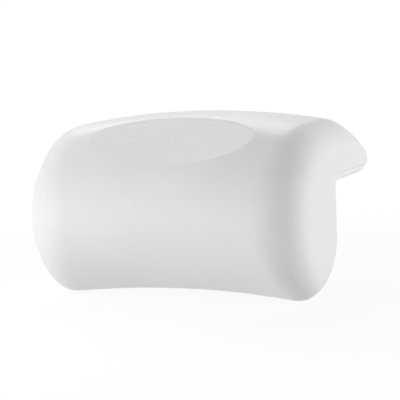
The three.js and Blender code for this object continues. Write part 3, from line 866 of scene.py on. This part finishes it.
lip_plate = new_mesh("plate_lip", make_lip_plate(), closed=True)
cut(lip_plate, plate_cuts(on_lip, LIP_CUP, LIP_SCREWS), sharp=30)
dress(lip_plate, "plate", "lip_plate")


def make_back_plate(chamfer=0.6, steps=10):
    """A flat plate with round lower corners and a chamfer round its outer face."""
    def ring(inset, y):
        side, low, high = BACK_END - inset, -BACK_LOW + inset, PLATE - inset
        radius = BACK_CORNER - inset
        turn = np.pi / 2 * np.arange(steps + 1) / steps
        across, up = side - radius + radius * np.sin(turn), low + radius - radius * np.cos(turn)
        right = np.stack([across, up], 1)
        left = right[::-1] * (-1, 1)
        outline = np.concatenate([right, [(side, high), (-side, high)], left])
        return np.column_stack([outline[:, 0], np.full(len(outline), y), outline[:, 1]])

    return lofted([ring(chamfer, 0.0), ring(0.0, -chamfer), ring(0.0, -PLATE)])


back_plate = new_mesh("plate_back", make_back_plate(), closed=True)
cut(back_plate, plate_cuts(on_back, BACK_CUP, BACK_SCREWS), sharp=30)
dress(back_plate, "plate", "back_plate")


# The suction cups: a hollow face with a sealing ring, a domed back and a stud with a snap head
HOLLOW_STOPS = np.linspace(0.02, 0.97, 20)  # shares of the radius at which the hollow has a ring
DOME_STOPS = np.linspace(1, 0.04, 20)  # the same, for the domed back


def cup_shape(soft=0.25, soft_steps=4, chamfer=0.1):
    """The cup and its stud, with a soft round on the ring and small chamfers."""
    inner, back = CUP_RADIUS - CUP_RING, CUP_DEPTH - CUP_PROUD
    tip, end = STUD_HEAD_RADIUS - STUD_HEAD_TAPER, HEAD_START + STUD_HEAD_LENGTH
    pairs = [(share * inner, CUP_HOLLOW * (1 - share ** 2) - CUP_PROUD) for share in HOLLOW_STOPS]
    pairs += [(inner + chamfer, -CUP_PROUD), (CUP_RADIUS - soft, -CUP_PROUD)]
    for t in np.linspace(0, np.pi / 2, soft_steps + 1)[1:]:
        pairs.append((CUP_RADIUS - soft * (1 - math.sin(t)), -CUP_PROUD + soft * (1 - math.cos(t))))
    for share in DOME_STOPS:
        radius = STUD_ROOT + share * (CUP_RADIUS - STUD_ROOT)
        pairs.append((radius, back - (CUP_DEPTH - CUP_EDGE) * share ** 2))
    pairs += [
        (STUD_ROOT, back),
        (STUD_RADIUS, back + STUD_SHOULDER / 2),
        (STUD_RADIUS, HEAD_START),
        (STUD_HEAD_RADIUS - chamfer, HEAD_START),
        (STUD_HEAD_RADIUS, HEAD_START + chamfer),
        (STUD_HEAD_RADIUS, HEAD_START + STUD_HEAD_LENGTH / 2),
        (tip + chamfer, end - chamfer),
        (tip - 2 * chamfer, end),
    ]
    return turned(pairs)


for word, side in SIDES:
    for plate, place, (x, run) in (("lip", on_lip, LIP_CUP), ("back", on_back, BACK_CUP)):
        shape = place(cup_shape(), side * x, run)
        cup = new_mesh(f"sucker_{plate}_{word}", shape, f"{plate}_cup_{word}", sharp=40, closed=True)
        dress(cup, "cup", f"cup_{plate}_{word}")


# The screws: countersunk heads with a hexagon socket
def screw_shape(bevel=0.15, bevel_drop=0.1, point=0.3, sides=48):
    turn = 2 * np.pi * np.arange(sides) / sides
    hexagon = math.cos(np.pi / 6) / np.cos(turn % (np.pi / 3) - np.pi / 6)
    return turned([
        ((SOCKET_RADIUS - bevel_drop) * hexagon, SCREW_SINK + SOCKET_DEPTH),
        (SOCKET_RADIUS * hexagon, SCREW_SINK + bevel_drop),
        ((SOCKET_RADIUS + bevel) * hexagon, SCREW_SINK),
        (SCREW_HEAD_RADIUS - bevel, SCREW_SINK),
        (SCREW_HEAD_RADIUS, SCREW_SINK + bevel_drop),
        (SCREW_RADIUS, SCREW_SINK + SCREW_HEAD),
        (SCREW_RADIUS, SCREW_LENGTH - point),
        (SCREW_RADIUS - point, SCREW_LENGTH),
    ], sides)


for word, side in SIDES:
    for plate, place, runs in (("lip", on_lip, LIP_SCREWS), ("back", on_back, BACK_SCREWS)):
        for i, run in enumerate(runs, 1):
            shape = place(screw_shape(), side * SCREW_X, run)
            screw = new_mesh(f"bolt_{plate}_{word}_{i}", shape, sharp=25, closed=True)
            dress(screw, "steel", f"screw_{plate}_{word}_{i}")


# CAD pieces that keep their shapes and get their materials
for node in frame["record"]["subparts"]:
    obj = frame["nodes"][node["node"]]
    if not obj.hide_render:
        obj.data.materials.clear()
        obj.data.materials.append(LOOKS[node["material_slot"]])


# Stage, in metres: a pale floor that fades out into the white surround
STAGE_CENTRE = Vector((0, -0.05, -0.02))
FLOOR_RADIUS = 0.64
FLOOR_DROP = 0.0003  # below the lowest point of the part
FLOOR_COVER = 0.2  # how much of the surround it hides in its middle
FADE_START, FADE_END = 0.15, 0.6  # radii between which it fades out


def floor_look(tree, shader):
    place = tree.nodes.new("ShaderNodeTexCoord")
    reach = tree.nodes.new("ShaderNodeVectorMath")
    reach.operation = "LENGTH"
    fade = tree.nodes.new("ShaderNodeMapRange")
    fade.interpolation_type = "SMOOTHSTEP"
    fade.inputs["From Min"].default_value = FADE_START
    fade.inputs["From Max"].default_value = FADE_END
    fade.inputs["To Min"].default_value = FLOOR_COVER
    fade.inputs["To Max"].default_value = 0.0
    tree.links.new(place.outputs["Object"], reach.inputs[0])
    tree.links.new(reach.outputs["Value"], fade.inputs["Value"])
    tree.links.new(fade.outputs["Result"], shader.inputs["Alpha"])


def make_floor(sides=96):
    mesh = bpy.data.meshes.new("floor")
    turn = 2 * np.pi * np.arange(sides) / sides
    rim = [(FLOOR_RADIUS * math.cos(t), FLOOR_RADIUS * math.sin(t), 0) for t in turn]
    mesh.from_pydata(rim, [], [tuple(range(sides))])
    floor = bpy.data.objects.new("floor", mesh)
    floor.location = (0, STAGE_CENTRE.y, float(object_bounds()[0][2]) - FLOOR_DROP)
    bpy.context.scene.collection.objects.link(floor)
    glow = {"Emission_Color": (1, 1, 1, 1), "Emission_Strength": 0.2}
    floor.data.materials.append(material("floor_pale", (0.93, 0.93, 0.93), 0.9, floor_look, **glow))


make_floor()


def soft_light(name, azimuth, elevation, size, power, distance=1.5, mirrored=False):
    """A square softbox that faces the pillow, its azimuth counted from the front to the right.

    Only a mirrored one shows in the gloss of the skin.
    """
    a, e = math.radians(azimuth), math.radians(elevation)
    away = Vector((math.sin(a) * math.cos(e), -math.cos(a) * math.cos(e), math.sin(e)))
    data = bpy.data.lights.new(name, "AREA")
    data.shape = "RECTANGLE"
    data.size = data.size_y = size
    data.energy = power
    obj = bpy.data.objects.new(name, data)
    obj.location = STAGE_CENTRE + away * distance
    obj.rotation_euler = (-away).to_track_quat("-Z", "Y").to_euler()
    obj.visible_camera = False
    obj.visible_glossy = mirrored
    bpy.context.scene.collection.objects.link(obj)


def make_world(fill, gleam):
    """White to the eye, with an even fill for the object and a surround for it to reflect."""
    world = bpy.data.worlds.new("studio")
    world.use_nodes = True
    tree = world.node_tree
    path = tree.nodes.new("ShaderNodeLightPath")
    mixed = tree.nodes["Background"]
    mixed.name = "fill"
    mixed.inputs["Color"].default_value = (fill, fill, fill, 1)
    for name, ray, grey in (("gleam", "Is Glossy Ray", gleam), ("shown", "Is Camera Ray", 1.0)):
        back = tree.nodes.new("ShaderNodeBackground")
        back.name = name
        back.inputs["Color"].default_value = (grey, grey, grey, 1)
        mix = tree.nodes.new("ShaderNodeMixShader")
        tree.links.new(path.outputs[ray], mix.inputs["Fac"])
        tree.links.new(mixed.outputs[0], mix.inputs[1])
        tree.links.new(back.outputs[0], mix.inputs[2])
        mixed = mix
    tree.links.new(mixed.outputs[0], tree.nodes["World Output"].inputs["Surface"])
    bpy.context.scene.world = world


# Lights, with powers set to match the photograph's tones
make_world(fill=0.15, gleam=0.86)
bpy.context.scene.view_settings.view_transform = "Standard"
soft_light("near_front", azimuth=-28, elevation=4, size=0.4, power=1.56, distance=0.6)
soft_light("near_front_high", azimuth=-40, elevation=34, size=0.4, power=0.62, distance=0.6)
soft_light("near_left", azimuth=-80, elevation=30, size=0.4, power=0.36, distance=0.6)
soft_light("right", azimuth=112, elevation=0, size=0.9, power=8.4)
soft_light("right_front", azimuth=74, elevation=22, size=0.9, power=6.8)
soft_light("right_back", azimuth=150, elevation=5, size=0.9, power=2.4)
soft_light("left_back", azimuth=-120, elevation=45, size=0.8, power=2.2, mirrored=True)
soft_light("high_back", azimuth=-152, elevation=38, size=0.8, power=3.7, mirrored=True)
soft_light("top_back", azimuth=-162, elevation=62, size=0.35, power=2.0, mirrored=True)
soft_light("low_back", azimuth=-150, elevation=-35, size=1.2, power=6.0)
soft_light("low_left", azimuth=-64, elevation=-40, size=1.4, power=8.5)
soft_light("low_right", azimuth=60, elevation=-40, size=1.4, power=5.0)


# Camera: the photograph's view, fitted to its outline
FRAME_PIXELS = 400
SENSOR_WIDTH = 36  # millimetres
VIEW_AZIMUTH = math.radians(25.630)  # from the front to the right
VIEW_ELEVATION = math.radians(8.044)
VIEW_ROLL = math.radians(-2.698)
VIEW_DISTANCE = 1.346896  # metres from the camera to the point that it looks at
VIEW_POINT = Vector((0, -0.057, -0.030))
VIEW_PIXEL = (195.955, 212.569)  # where that point is in the picture
PIXELS_PER_MM = 1.042696  # the picture's scale at that point


def make_camera():
    right = Vector((math.cos(VIEW_AZIMUTH), math.sin(VIEW_AZIMUTH), 0))
    level, drop = math.cos(VIEW_ELEVATION), math.sin(VIEW_ELEVATION)
    ahead = Vector((-math.sin(VIEW_AZIMUTH) * level, math.cos(VIEW_AZIMUTH) * level, -drop))
    up = right.cross(ahead)
    tilted = right * math.cos(VIEW_ROLL) + up * math.sin(VIEW_ROLL)
    upright = up * math.cos(VIEW_ROLL) - right * math.sin(VIEW_ROLL)
    data = bpy.data.cameras.new("camera")
    data.sensor_width = SENSOR_WIDTH
    data.lens = SENSOR_WIDTH * PIXELS_PER_MM * VIEW_DISTANCE * MM_IN_METRE / FRAME_PIXELS
    data.shift_x = (FRAME_PIXELS / 2 - VIEW_PIXEL[0]) / FRAME_PIXELS
    data.shift_y = (VIEW_PIXEL[1] - FRAME_PIXELS / 2) / FRAME_PIXELS
    data.clip_start, data.clip_end = 0.05, 20
    camera = bpy.data.objects.new("camera", data)
    turn = Matrix((tilted, upright, -ahead)).transposed()
    camera.matrix_world = Matrix.Translation(VIEW_POINT - ahead * VIEW_DISTANCE) @ turn.to_4x4()
    bpy.context.scene.collection.objects.link(camera)
    bpy.context.scene.camera = camera


make_camera()
